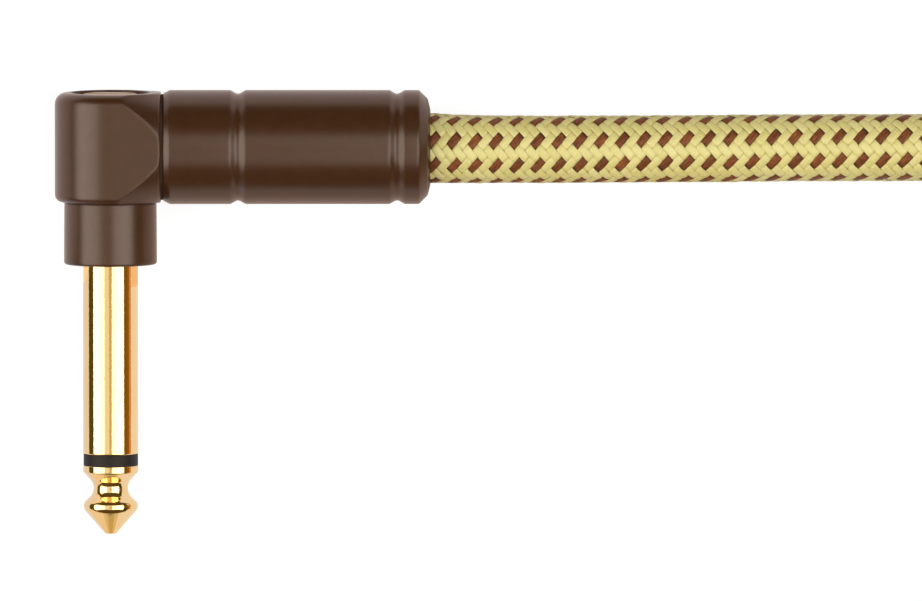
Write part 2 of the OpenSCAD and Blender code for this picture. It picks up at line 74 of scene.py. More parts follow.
# Sizes of the turned pieces: radii, and distances from the shoulder towards the tip.
SHAFT_R = 3.175
SHANK_R = 2.95
RING_R = 3.125
ROD_R = 1.2
RIVET_R = 1.7
NECK_R = 1.975
BULGE_R = 3.13
ROD_TUBE_R = 1.95
PRESS_GAP = 0.02
SLEEVE_LEN = 21.8
SLEEVE_BACK = 10.2
LUG_BACK = 11.7
RIVET_BACK = 12.3
LAND_START = 23.1
LAND_END = 23.85
NECK_AT = 25.75
BULGE_AT = 27.83
PLUG_LEN = 31.0
BARREL_R = 6.525
BARREL_BORE_R = 5.3
EXIT_R = 4.27
SEAL_W = 0.28


# Camera, floor and light

CAMERA_TILT = radians(4.3)
CAMERA_TARGET = (0.024975, 0.001475, 0.006525)
CAMERA_AWAY = 1.7585
FLOOR_HALF = 30
FLOOR_GREY = 0.3
FLOOR_GLOW = 0.86
WORLD_LIGHT = 0.3
WORLD_GLOW = 0.7

# Half the width of the far panels, and how far from the origin they stand, in metres.
WIDE = 1.6
FAR = 1.3

# What each panel's material glows with, as gloss sees it.
GLOWS = {
    "flag_black": (0.06, 0.05, 0.006), "flag_grey": (0.58, 0.54, 0.3), "flag_warm": (0.65, 0.34, 0.12),
    "flag_shade": (0.1, 0.07, 0.022), "flag_rust": (0.3, 0.125, 0.01), "flag_amber": (0.19, 0.115, 0.008),
    "flag_umber": (0.09, 0.075, 0.015), "flag_dim": (0.84, 0.7, 0.66), "flag_dusk": (0.56, 0.58, 0.42),
    "card_pale": (0.82, 0.86, 1.03), "card_peach": (0.88, 0.91, 1.06), "card_rose": (1.11, 0.93, 0.88),
    "card_bronze": (0.6, 0.5, 0.27), "card_honey": (0.75, 0.66, 0.47), "card_smoke": (0.42, 0.34, 0.3),
    "card_clay": (0.91, 0.69, 0.58), "card_shell": (0.88, 0.82, 0.8), "card_frost": (0.91, 0.93, 1.08),
}


def add_camera():
    """Looks down on the plug from the photograph's angle."""
    data = bpy.data.cameras.new("camera")
    data.sensor_width = 36
    data.lens = 600
    data.clip_start = 0.05
    data.clip_end = 60
    camera = bpy.data.objects.new("camera", data)
    camera.location = Vector(CAMERA_TARGET) + CAMERA_AWAY * Vector((0, sin(CAMERA_TILT), cos(CAMERA_TILT)))
    camera.rotation_euler = (-CAMERA_TILT, 0, 0)
    bpy.context.scene.collection.objects.link(camera)
    bpy.context.scene.camera = camera


def maths(tree, kind, a, b):
    """A Math node fed with links or numbers."""
    node = tree.nodes.new("ShaderNodeMath")
    node.operation = kind
    for socket, value in zip(node.inputs, (a, b)):
        if isinstance(value, (int, float)):
            socket.default_value = value
        else:
            tree.links.new(value, socket)
    return node.outputs[0]


def seen_as_white(tree, plain, strength):
    """An emission of that strength where camera, gloss or glass looks, added to a plain shader."""
    path = tree.nodes.new("ShaderNodeLightPath").outputs
    seen = maths(tree, "MAXIMUM", path["Is Camera Ray"], path["Is Glossy Ray"])
    seen = maths(tree, "MAXIMUM", seen, path["Is Transmission Ray"])
    glow = tree.nodes.new("ShaderNodeEmission")
    tree.links.new(maths(tree, "MULTIPLY", seen, strength), glow.inputs["Strength"])
    add = tree.nodes.new("ShaderNodeAddShader")
    tree.links.new(plain, add.inputs[0])
    tree.links.new(glow.outputs[0], add.inputs[1])
    return add.outputs[0]


def stage_material(name):
    """A material that holds only its output, for the studio."""
    material = bpy.data.materials.new(name)
    material.use_nodes = True
    tree = material.node_tree
    tree.nodes.clear()
    return material, tree, tree.nodes.new("ShaderNodeOutputMaterial").inputs["Surface"]


def add_stage(name, corners, material):
    """A flat panel of the studio, which isn't part of the object."""
    mesh = bpy.data.meshes.new(name)
    mesh.from_pydata(corners, [], [tuple(range(len(corners)))])
    mesh.materials.append(material)
    panel = bpy.data.objects.new(name, mesh)
    bpy.context.scene.collection.objects.link(panel)
    return panel


def upright(low, high, y, bottom, top):
    """Corners of a panel that stands along X."""
    return [(low, y, bottom), (high, y, bottom), (high, y, top), (low, y, top)]


def endwise(x, first, last, bottom, top):
    """Corners of a panel that stands along Y."""
    return [(x, first, bottom), (x, last, bottom), (x, last, top), (x, first, top)]


def lying(low, high, first, last, z):
    """Corners of a panel that lies between two X and two Y."""
    return [(low, first, z), (high, first, z), (high, last, z), (low, last, z)]


def add_floor():
    """The pale floor, which keeps the object's shadow."""
    material, tree, surface = stage_material("pale_floor")
    plain = tree.nodes.new("ShaderNodeBsdfDiffuse")
    plain.inputs["Color"].default_value = (FLOOR_GREY, FLOOR_GREY, FLOOR_GREY, 1)
    tree.links.new(seen_as_white(tree, plain.outputs[0], FLOOR_GLOW), surface)
    add_stage("floor", lying(-FLOOR_HALF, FLOOR_HALF, -FLOOR_HALF, FLOOR_HALF, 0), material)


def flag_material(name, color):
    """The plain glow of a panel."""
    material, tree, surface = stage_material(name)
    glow = tree.nodes.new("ShaderNodeEmission")
    glow.inputs["Color"].default_value = (*color, 1)
    tree.links.new(glow.outputs[0], surface)
    return material


def add_flag(name, corners, material):
    """A panel that only gloss sees, and that casts no shadow."""
    flag = add_stage(name, corners, material)
    flag.visible_camera = False
    flag.visible_shadow = False
    flag.visible_diffuse = False


def skyward(angle, y, reach=1.1):
    """The point at this angle from straight up over the plug, towards +X, at this Y."""
    return (PLUG_X * MM + reach * sin(radians(angle)), y, reach * cos(radians(angle)))


def sideways(low, high):
    """Corners of the far panel at +X between these angles from straight up, seen from the plug."""
    bottom, top = (max(0.004, FAR / tan(radians(angle))) for angle in (low, high))
    return [(FAR, -WIDE, bottom), (FAR, -WIDE, top), (FAR, WIDE, top), (FAR, WIDE, bottom)]


def near_side(low, high, x):
    """Corners of a near panel at this X between these angles from straight up, seen from the plug's axis."""
    bottom, top = (
        max(0.0006, AXIS_Z * MM + (x - PLUG_X * MM) / tan(radians(angle))) for angle in (low, high)
    )
    return [(x, -0.04, bottom), (x, -0.04, top), (x, 0.004, top), (x, 0.004, bottom)]


def camera_shade():
    """Corners of the dark camera overhead, wider near the middle than at its front end."""
    return [
        skyward(angle, y) for angle, y in (
            (-4.6, -0.4), (3.4, -0.4), (3.4, -0.124), (7.6, -0.075), (7.6, 0.15), (-5.6, 0.15),
            (-5.6, -0.075), (-4.6, -0.124),
        )
    ]


def panels():
    """Name, glow and corners of each panel that shapes the reflections on the plug."""
    return [
        ("flag_back", "flag_shade", upright(-WIDE, WIDE, FAR, 0.002, 2.3)),
        ("flag_front", "flag_shade", upright(-WIDE, WIDE, -FAR, 0.13, 2.1)),
        ("flag_low_a", "flag_dim", upright(-WIDE, -0.32, -FAR, 0.002, 0.13)),
        ("flag_low_b", "flag_dusk", upright(-0.32, 0.29, -FAR, 0.002, 0.13)),
        ("flag_low_c", "flag_dim", upright(0.29, WIDE, -FAR, 0.002, 0.13)),
        ("card_front", "flag_dim", lying(-0.6, 0.07, -1.25, -0.06, 0.0004)),
        ("flag_left", "flag_black", endwise(-FAR, -WIDE, WIDE, 0.004, 0.4)),
        ("flag_right", "flag_black", sideways(81, 58.3)),
        ("flag_near_top", "flag_amber", near_side(72.5, 57, 0.06)),
        ("flag_near", "flag_rust", near_side(83, 72.5, 0.06)),
        ("flag_near_low", "flag_warm", near_side(93.5, 83, 0.06)),
        ("flag_near_left", "flag_umber", near_side(-99, -76.3, -0.055)),
        ("card_left", "card_pale", lying(-0.055, -0.016, -0.031, 0.003, 0.0004)),
        ("card_right", "card_peach", endwise(-0.0106, -0.031, 0.003, 0.0005, 0.0084)),
        ("card_notch", "card_clay", lying(-0.0104, 0.06, -0.031, 0.0125, 0.0005)),
        ("card_far_notch", "card_clay", lying(-0.002, 0.06, -0.06, -0.031, 0.0005)),
        ("card_head", "card_rose", lying(-0.6, -0.022, 0.003, 0.05, 0.0005)),
        ("card_back", "card_rose", lying(-0.6, 0.6, 0.0262, 0.1, 0.0005)),
        ("card_far", "flag_shade", lying(-0.6, 0.6, 0.1, 1.25, 0.0005)),
        ("card_tip_left", "card_shell", lying(-0.07, -0.0151, -0.06, -0.031, 0.0005)),
        ("card_tip_right", "card_frost", lying(-0.0151, -0.002, -0.06, -0.031, 0.0005)),
        ("card_stand_a", "card_shell", upright(-0.06, -0.0265, -0.055, 0.0005, 0.0108)),
        ("card_stand_b", "card_honey", upright(-0.0265, -0.0205, -0.055, 0.0005, 0.0108)),
        ("card_stand_c", "card_bronze", upright(-0.0205, -0.0098, -0.055, 0.0005, 0.0108)),
        ("card_stand_d", "card_honey", upright(-0.0098, -0.0038, -0.055, 0.0005, 0.0108)),
        ("card_stand_e", "card_frost", upright(-0.0038, 0.03, -0.055, 0.0005, 0.0108)),
        ("card_lead", "card_smoke", lying(0.0216, 0.06, 0.0125, 0.0262, 0.0005)),
        ("flag_camera", "flag_grey", camera_shade()),
    ]


def add_flags():
    """The panels with the materials they share."""
    materials = {name: flag_material(name, color) for name, color in GLOWS.items()}
    for name, glow, corners in panels():
        add_flag(name, corners, materials[glow])


def add_box(name, first, last, power, depth=1.12, lean=-0.03):
    """A soft box whose ends lie at these angles from straight up, towards +X, seen from the plug."""
    a, b = Vector(skyward(first, 0)), Vector(skyward(last, 0))
    data = bpy.data.lights.new(name, "AREA")
    data.shape = "RECTANGLE"
    data.size = (b - a).length
    data.size_y = depth
    data.energy = power * data.size * depth
    lamp = bpy.data.objects.new(name, data)
    across = (b - a).normalized()
    away = ((a + b) / 2 - Vector((PLUG_X * MM, 0, 0))).normalized()
    turn = Matrix((across, away.cross(across), away)).transposed()
    lamp.matrix_world = Matrix.Translation((a + b) / 2 + Vector((0, lean, 0))) @ turn.to_4x4()
    lamp.visible_camera = False
    bpy.context.scene.collection.objects.link(lamp)


def add_light_setup():
    """The Standard view, a plain world and four soft boxes overhead."""
    scene = bpy.context.scene
    scene.view_settings.view_transform = "Standard"
    world = bpy.data.worlds.new("studio")
    scene.world = world
    world.use_nodes = True
    tree = world.node_tree
    tree.nodes.clear()
    out = tree.nodes.new("ShaderNodeOutputWorld")
    dim = tree.nodes.new("ShaderNodeBackground")
    dim.inputs["Strength"].default_value = WORLD_LIGHT
    tree.links.new(seen_as_white(tree, dim.outputs[0], WORLD_GLOW), out.inputs["Surface"])
    for name, first, last, power in (
        ("box_left_outer", -74.6, -46, 7.4), ("box_left_inner", -46, -25, 5.7),
        ("box_right_inner", 7.6, 24, 5.7), ("box_right_outer", 24, 57, 7.0),
    ):
        add_box(name, first, last, power)


# Materials

def new_material(name):
    material = bpy.data.materials.new(name)
    material.use_nodes = True
    return material, material.node_tree, material.node_tree.nodes["Principled BSDF"]


def coordinates(tree):
    return tree.nodes.new("ShaderNodeTexCoord").outputs["Object"]


def scaled(tree, vector, scale):
    mapping = tree.nodes.new("ShaderNodeMapping")
    mapping.inputs["Scale"].default_value = scale
    tree.links.new(vector, mapping.inputs["Vector"])
    return mapping.outputs[0]


def noise(tree, scale, detail=3, stretch=None, vector=None):
    texture = tree.nodes.new("ShaderNodeTexNoise")
    texture.inputs["Scale"].default_value = scale
    texture.inputs["Detail"].default_value = detail
    vector = vector or coordinates(tree)
    tree.links.new(scaled(tree, vector, stretch) if stretch else vector, texture.inputs["Vector"])
    return texture.outputs["Fac"]


def ramp(tree, value, low, high, start=0.3, end=0.7):
    """A value turned into a colour between two colours."""
    node = tree.nodes.new("ShaderNodeValToRGB")
    node.color_ramp.elements[0].position = start
    node.color_ramp.elements[1].position = end
    node.color_ramp.elements[0].color = (*low, 1)
    node.color_ramp.elements[1].color = (*high, 1)
    tree.links.new(value, node.inputs[0])
    return node.outputs["Color"]


def mixed(tree, factor, low, high, kind="MIX"):
    """Two colour links mixed by a link."""
    node = tree.nodes.new("ShaderNodeMix")
    node.data_type = "RGBA"
    node.blend_type = kind
    for socket, value in ((node.inputs[0], factor), (node.inputs[6], low), (node.inputs[7], high)):
        if isinstance(value, (int, float)):
            socket.default_value = value
        elif isinstance(value, tuple):
            socket.default_value = (*value, 1)
        else:
            tree.links.new(value, socket)
    return node.outputs[2]


def spread(tree, value, low, high):
    """A value from 0 to 1 turned into a number between two numbers."""
    node = tree.nodes.new("ShaderNodeMapRange")
    node.inputs["To Min"].default_value = low
    node.inputs["To Max"].default_value = high
    tree.links.new(value, node.inputs["Value"])
    return node.outputs["Result"]


def bump(tree, shader, height, distance, strength=1.0, normal=None):
    node = tree.nodes.new("ShaderNodeBump")
    if normal:
        tree.links.new(normal, node.inputs["Normal"])
    node.inputs["Distance"].default_value = distance
    node.inputs["Strength"].default_value = strength
    tree.links.new(height, node.inputs["Height"])
    tree.links.new(node.outputs[0], shader.inputs["Normal"])


def plain_material(name, low, high, scale, roughness, metallic=0.0, grain=2e-6, grain_scale=9000):
    """A material whose colour and roughness drift a little, with a fine grain."""
    material, tree, shader = new_material(name)
    tree.links.new(ramp(tree, noise(tree, scale), low, high), shader.inputs["Base Color"])
    tree.links.new(spread(tree, noise(tree, scale * 3), *roughness), shader.inputs["Roughness"])
    shader.inputs["Metallic"].default_value = metallic
    bump(tree, shader, noise(tree, grain_scale), grain)
    return material


def gold_material():
    """Polished plating with faint drawn streaks along the turned surface."""
    material, tree, shader = new_material("gold_plating")
    tree.links.new(
        ramp(tree, noise(tree, 160), (0.97, 0.64, 0.27), (1.0, 0.672, 0.3)), shader.inputs["Base Color"])
    shader.inputs["Metallic"].default_value = 1
    tree.links.new(spread(tree, noise(tree, 900), 0.05, 0.1), shader.inputs["Roughness"])
    bump(tree, shader, noise(tree, 4200, 2), 4.5e-6)
    return material


def housing_material():
    """Satin bronze-brown plating over metal, with a fine pearly grain."""
    material, tree, shader = new_material("housing_brown")
    drift = ramp(tree, noise(tree, 700), (0.054, 0.018, 0.0055), (0.0627, 0.0211, 0.0068))
    speck = ramp(tree, noise(tree, 7000, 1), (0.86, 0.86, 0.86), (1.0, 1.0, 1.0))
    tree.links.new(mixed(tree, 1.0, drift, speck, "MULTIPLY"), shader.inputs["Base Color"])
    tree.links.new(spread(tree, noise(tree, 1500), 0.27, 0.33), shader.inputs["Roughness"])
    shader.inputs["IOR"].default_value = 1.6
    shader.inputs["Specular Tint"].default_value = (1.0, 0.84, 0.72, 1)
    edges = tree.nodes.new("ShaderNodeBevel")
    edges.samples = 6
    edges.inputs["Radius"].default_value = 0.0004
    bump(tree, shader, noise(tree, 6000, 2), 4e-6, 1.0, edges.outputs[0])
    return material


def yarn_material(name, dark, low, high, streak, gloss):
    """Twisted filaments along a float, with painted shade mixed in where it dives, along its edges and on one
    end; the strand map gives the float's axes.
    """
    material, tree, shader = new_material(name)
    strand = tree.nodes.new("ShaderNodeUVMap")
    strand.uv_map = "strand"
    tint = tree.nodes.new("ShaderNodeAttribute")
    tint.attribute_name = "tint"
    shade_attribute = tree.nodes.new("ShaderNodeAttribute")
    shade_attribute.attribute_name = "depth"
    fibres = noise(tree, 1.0, 2, (1.6, 26, 1), strand.outputs[0])
    coarse = noise(tree, 1.0, 2, (0.8, 7, 1), strand.outputs[0])
    color = ramp(tree, tint.outputs["Fac"], low, high, 0.0, 1.0)
    lines = ramp(tree, fibres, (streak, streak, streak), (1.0, 1.0, 1.0), 0.35, 0.62)
    bands = ramp(tree, coarse, (streak + 0.08,) * 3, (1.0, 1.0, 1.0), 0.3, 0.6)
    color = mixed(tree, 1.0, color, lines, "MULTIPLY")
    color = mixed(tree, 1.0, color, bands, "MULTIPLY")
    # Painted shade: the yarn's shade colour is mixed in by the depth attribute.
    color = mixed(tree, shade_attribute.outputs["Fac"], color, dark)
    tree.links.new(color, shader.inputs["Base Color"])
    tree.links.new(spread(tree, coarse, 0.42, 0.58), shader.inputs["Roughness"])
    shader.inputs["Sheen Weight"].default_value = 0.02
    shader.inputs["Sheen Roughness"].default_value = 0.5
    shader.inputs["Specular IOR Level"].default_value = gloss
    bump(tree, shader, fibres, 2.5e-5, 0.6)
    return material


# Webbing: the pitch of its ribs and of the courses across them, in metres, and the share of each in its height.
RIB_PITCH = 0.0011
COURSE_PITCH = 0.0008
RIB_SHARE = 0.16
COURSE_SHARE = 0.08


def webbing_material():
    """Black loop fabric: a low pile over ribs that run along the strap and finer courses across it."""
    material, tree, shader = new_material("tie_fabric")
    place = tree.nodes.new("ShaderNodeSeparateXYZ")
    tree.links.new(coordinates(tree), place.inputs[0])
    x, y, z = place.outputs
    across = maths(tree, "MULTIPLY", maths(tree, "ADD", x, y), 2 * pi / (RIB_PITCH * 2 ** 0.5))
    ribs = maths(tree, "MULTIPLY", maths(tree, "SINE", across, 0), RIB_SHARE)
    ahead = maths(tree, "ADD", maths(tree, "MULTIPLY", maths(tree, "SUBTRACT", x, y), 0.5 ** 0.5), z)
    courses = maths(tree, "SINE", maths(tree, "MULTIPLY", ahead, 2 * pi / COURSE_PITCH), 0)
    weave = maths(tree, "ADD", ribs, maths(tree, "MULTIPLY", courses, COURSE_SHARE))
    pile = maths(tree, "ADD", weave, noise(tree, 2600, 3))
    color = ramp(tree, pile, (0.0025, 0.0025, 0.003), (0.03, 0.03, 0.033))
    tree.links.new(color, shader.inputs["Base Color"])
    tree.links.new(spread(tree, pile, 0.75, 0.95), shader.inputs["Roughness"])
    shader.inputs["Sheen Weight"].default_value = 0.06
    shader.inputs["Sheen Roughness"].default_value = 0.6
    shader.inputs["Specular IOR Level"].default_value = 0.3
    bump(tree, shader, pile, 2.5e-4, 1.0)
    return material


# Each yarn's first colour is its painted shade, mixed in where the floats dive and meet.
YARN_YELLOW = yarn_material(
    "yarn_yellow", (0.6, 0.49, 0.13), (0.80, 0.68, 0.185), (0.97, 0.845, 0.32), 0.86, 1.0)
YARN_BROWN = yarn_material(
    "yarn_brown", (0.03, 0.008, 0.003), (0.26, 0.068, 0.012), (0.53, 0.155, 0.036), 0.3, 0.25)
# The under yarn's darker olive is partly painted shade in the gaps between the floats.
UNDER_YARN_SHADED = plain_material("yarn_under_shaded", (0.46, 0.38, 0.11), (0.58, 0.49, 0.16), 2500, (0.85, 0.95))
STITCH = plain_material(
    "stitch_thread", (0.055, 0.055, 0.058), (0.085, 0.085, 0.09), 2500, (0.5, 0.65), 0.0, 1e-5)

MATERIALS = {
    "housing": housing_material(),
    "gold_contact": gold_material(),
    "black_ring": plain_material(
        "black_plastic", (0.005, 0.0032, 0.0022), (0.013, 0.009, 0.007), 1600, (0.5, 0.62), 0.0, 6e-6),
    "woven_cover": plain_material("yarn", (0.62, 0.54, 0.20), (0.78, 0.70, 0.32), 1500, (0.7, 0.8)),
    "white_insulation": plain_material(
        "white_plastic", (0.66, 0.64, 0.58), (0.74, 0.72, 0.66), 300, (0.4, 0.5)),
    "clear_liner": plain_material("milky_plastic", (0.5, 0.5, 0.48), (0.6, 0.6, 0.57), 300, (0.25, 0.35)),
    "fibre": plain_material("fibre", (0.16, 0.05, 0.022), (0.23, 0.075, 0.03), 900, (0.55, 0.7)),
    "copper": plain_material("copper", (0.72, 0.36, 0.22), (0.82, 0.43, 0.27), 900, (0.25, 0.4), 1.0),
    "solder": plain_material("solder", (0.55, 0.56, 0.58), (0.66, 0.67, 0.69), 700, (0.2, 0.35), 1.0),
    "tie_fabric": webbing_material(),
}
# The cap's gold is darkened well below the plating's: painted shade of the recess it sits in.
CAP_GOLD_SHADED = plain_material(
    "cap_gold_shaded", (0.31, 0.209, 0.092), (0.355, 0.239, 0.11), 900, (0.34, 0.42), 1.0, 3e-6)
SEAL = plain_material("seal_rubber", (0.06, 0.033, 0.018), (0.075, 0.042, 0.024), 900, (0.8, 0.9))
RING_SHADER = MATERIALS["black_ring"].node_tree.nodes["Principled BSDF"]
RING_SHADER.inputs["Specular Tint"].default_value = (1, 0.86, 0.72, 1)
RING_SHADER.inputs["Specular IOR Level"].default_value = 0.36
SEAL.node_tree.nodes["Principled BSDF"].inputs["Specular IOR Level"].default_value = 0.1


# Cable

# The lead as (distance from the exit, height), and the tail as (back, drift, height), in millimetres.
LEAD = [
    (0, AXIS_Z), (10, AXIS_Z), (18, 6.3), (26, 5.7), (34, 5), (42, 4.4), (52, 4), (62, 3.95),
    (76, 4), (90, 4.4), (98, COIL_Z), (COIL_X - 2 * CABLE_R - EXIT_X, COIL_Z),
]
TAIL = [
    (0, 0, COIL_TOP_Z), (3, 0, COIL_TOP_Z), (8, 0.1, 29.3), (14, 0.4, 28), (21, 0.9, 25.4),
    (28, 1.6, 22.2), (35, 2.5, 18.6), (42, 3.3, 15), (49, 4, 11.6), (55, 4.5, 8.9), (61, 4.8, 7),
    (66, 5, AXIS_Z), (78, 5, AXIS_Z),
]
TURN_STEPS = 120


def coil_point(t):
    """The coil's route at t turns: in and out by one pitch a turn, up one pitch round each reversal."""
    part = t / LAYER_TURNS
    layer = min(int(part), 3)
    done = part - layer
    gap = OUTER_R - INNER_R
    radius = OUTER_R - gap * done if layer % 2 == 0 else INNER_R + gap * done
    climbs = (min(1, max(0, (t - k * LAYER_TURNS + 0.25) / 0.5)) for k in (1, 2, 3))
    height = COIL_Z + TURN_PITCH * sum(climbs)
    return (COIL_X + radius * sin(2 * pi * t), COIL_Y + radius * cos(2 * pi * t), height)


def resampled(points, step):
    """The points of a polyline at equal steps along it."""
    points = np.array(points, float)
    along = np.concatenate([[0], np.cumsum(np.linalg.norm(np.diff(points, axis=0), axis=1))])
    count = int(round(along[-1] / step))
    places = np.linspace(0, along[-1], count + 1)
    return np.stack([np.interp(places, along, points[:, i]) for i in range(3)], axis=1)


def smoothed(points, reach, rounds):
    """Each point moved to the mean of those within reach of it, again and again; both ends stay."""
    kernel = np.ones(2 * reach + 1) / (2 * reach + 1)
    for _ in range(rounds):
        ahead = points[0] + (points[0] - points[reach:0:-1])
        after = points[-1] + (points[-1] - points[-2:-reach - 2:-1])
        padded = np.concatenate([ahead, points, after])
        points = np.stack([np.convolve(padded[:, i], kernel, "valid") for i in range(3)], axis=1)
    return points


def cable_route():
    """The cable's centreline from the angle plug's barrel to the straight plug's, in millimetres."""
    lead = [(EXIT_X + d, BARREL_Y, z) for d, z in LEAD]
    turns = [coil_point(t) for t in np.linspace(0, TURNS, int(TURNS * TURN_STEPS) + 1)]
    tail = [(TAIL_X - back, TAIL_Y + drift, z) for back, drift, z in TAIL]
    return smoothed(resampled(lead + turns + tail, 1.0), 3, 3)


def carried_frames(points):
    """Tangents, and normals that never twist, starting with the normal straight up."""
    ahead = np.gradient(points, axis=0)
    ahead /= np.linalg.norm(ahead, axis=1)[:, None]
    up = np.zeros_like(ahead)
    side = np.array([0.0, 0, 1])
    for i, t in enumerate(ahead):
        side = side - (side @ t) * t
        side /= np.linalg.norm(side)
        up[i] = side
    return ahead, up


class Cord:
    """The cable's line, with a place in space for each distance along it, angle round it and radius."""

    def __init__(self, points):
        self.points = points
        steps = np.linalg.norm(np.diff(points, axis=0), axis=1)
        self.along = np.concatenate([[0], np.cumsum(steps)])
        self.length = self.along[-1]
        self.ahead, self.up = carried_frames(points)
        self.side = np.cross(self.up, self.ahead)

    def at(self, values, s):
        return np.stack([np.interp(s, self.along, values[:, i]) for i in range(3)], axis=-1)

    def place(self, s, angle, radius):
        before = np.minimum(s, 0)[..., None] * self.ahead[0]
        after = np.maximum(s - self.length, 0)[..., None] * self.ahead[-1]
        out = np.cos(angle)[..., None] * self.at(self.up, s)
        out = out + np.sin(angle)[..., None] * self.at(self.side, s)
        return self.at(self.points, s) + before + after + radius[..., None] * out


def make_mesh(name, points, loops, sizes, materials, indices=None, smooth=True):
    """A mesh in metres from points in millimetres and the corners of its faces, one after another."""
    mesh = bpy.data.meshes.new(name)
    mesh.vertices.add(len(points))
    mesh.vertices.foreach_set("co", (np.asarray(points, float) * MM).ravel())
    mesh.loops.add(len(loops))
    mesh.loops.foreach_set("vertex_index", np.asarray(loops, np.int32))
    mesh.polygons.add(len(sizes))
    starts = np.concatenate([[0], np.cumsum(sizes)[:-1]]).astype(np.int32)
    mesh.polygons.foreach_set("loop_start", starts)
    for material in materials:
        mesh.materials.append(material)
    if indices is not None:
        mesh.polygons.foreach_set("material_index", np.asarray(indices, np.int32))
    mesh.polygons.foreach_set("use_smooth", np.full(len(sizes), smooth))
    mesh.update(calc_edges=True)
    mesh.validate()
    piece = bpy.data.objects.new(name, mesh)
    bpy.context.scene.collection.objects.link(piece)
    return piece


# Braid: its carriers, where its cells start, how far it tucks in at both ends and how far the fine floats go.
CARRIERS = 32
CELL_ANGLE = 2 * pi / CARRIERS
FIRST_ANGLE = radians(12.1)
FIRST_CELL = 0.11
TUCK = 0.5
FINE_END = 66.0
FINE_GRID = (9, 7)
PLAIN_GRID = (5, 3)
TABLE_STEP = 0.25
TABLE_SPARE = 6

# A float's reach along and across in cells, where it starts to dive, its crown's radius and the under tube's.
FLOAT_REACH = 1.22
FLOAT_HALF = 0.505
DIVE_START = 0.93
CROWN_R = 3.85
UNDER_R = 3.45
UNDER_SIDES = 16


def cells_along(length):
    """Tables of distance along the cable and braid cells up to it, four to a repeat, closer near the plug."""
    s = np.arange(-TABLE_SPARE, length + TABLE_SPARE, TABLE_STEP)
    tight = 1 - (0.024 + 0.011 * np.clip(s / 15, 0, 1)) * np.clip((26 - s) / 4, 0, 1)
    seen, put_away = 2.42 + 0.14 * np.clip(s, 0, 56) / 56, np.maximum(2.48, 2.56 - 0.002 * (s - 56))
    repeat = tight * np.where(s < 56, seen, put_away)
    cells = np.concatenate([[0], np.cumsum(TABLE_STEP * 4 / repeat[:-1])])
    return s, cells - np.interp(0, s, cells)


def float_middles(first, last):
    """Each float whose middle lies between two cells: cell, angle, slope and whether it is brown."""
    numbers = np.arange(int(first // 2) - 1, int(last // 2) + 2)
    rows = []
    for column in range(CARRIERS // 4):
        for slope in (1, -1):
            cell = FIRST_CELL + 0.5 * slope + 2.0 * numbers
            angle = FIRST_ANGLE + (4 * column + (0.5 if slope > 0 else 2.5)) * CELL_ANGLE
            brown = (numbers % 2 == 0) & (slope > 0)
            keep = (cell >= first) & (cell < last)
            columns = [cell, np.full(len(cell), angle), np.full(len(cell), slope), brown]
            rows.append(np.stack(columns, 1)[keep])
    rows = np.concatenate(rows)
    return rows[np.argsort(rows[:, 0], kind="stable")]


def slack(s):
    """How far the lead rests below the barrel's axis in its bore, in the picture's plane."""
    settled = 0.09 + 0.18 * (1 - np.exp(-np.abs(s) / 3))
    return settled * np.clip((150 - s) / 120, 0, 1)


def float_grid(along, across):
    """A float's places along and across it in cells, closer together near its ends and edges."""
    a = np.linspace(-1, 1, along)
    b = np.linspace(-1, 1, across)
    a = np.sign(a) * np.abs(a) ** 0.75 * FLOAT_REACH
    b = np.sign(b) * np.abs(b) ** 0.75 * FLOAT_HALF
    a, b = np.meshgrid(a, b, indexing="ij")
    return a.ravel(), b.ravel()


def float_radius(a, b, dive, s):
    """How far a float lies from the cable's axis: crowned, diving at its ends, fuller at the barrel."""
    crown = CROWN_R - 0.03 * a ** 2 - 2.1 * dive ** 1.3 - 0.09 * np.abs(b / FLOAT_HALF) ** 3
    return crown + 0.14 * np.exp(-np.abs(s) / 3) + 0.05 * np.exp(-np.abs(s) / 10)


def float_painted_shade(a, b, dive, angle, brown):
    """How much painted shade a float's places get: at its ends where it dives, along its edges where floats
    meet, and more on the end that faces away from the camera's side.
    """
    edge = np.abs(b / FLOAT_HALF) ** 6 * 0.2
    # Painted shade: the end that faces away from the camera's side is darkened more, as the next float would
    # shade it.
    turned_away = np.clip(0.55 + 1.1 * np.sign(a) * np.sin(angle), 0.1, 1)
    shaded = np.clip((np.abs(a) - 0.5) / 0.45, 0, 1) ** 1.5 * turned_away
    return np.clip(dive * 3.5 + edge + np.where(brown, 0.8, 0.12) * shaded, 0, 1)


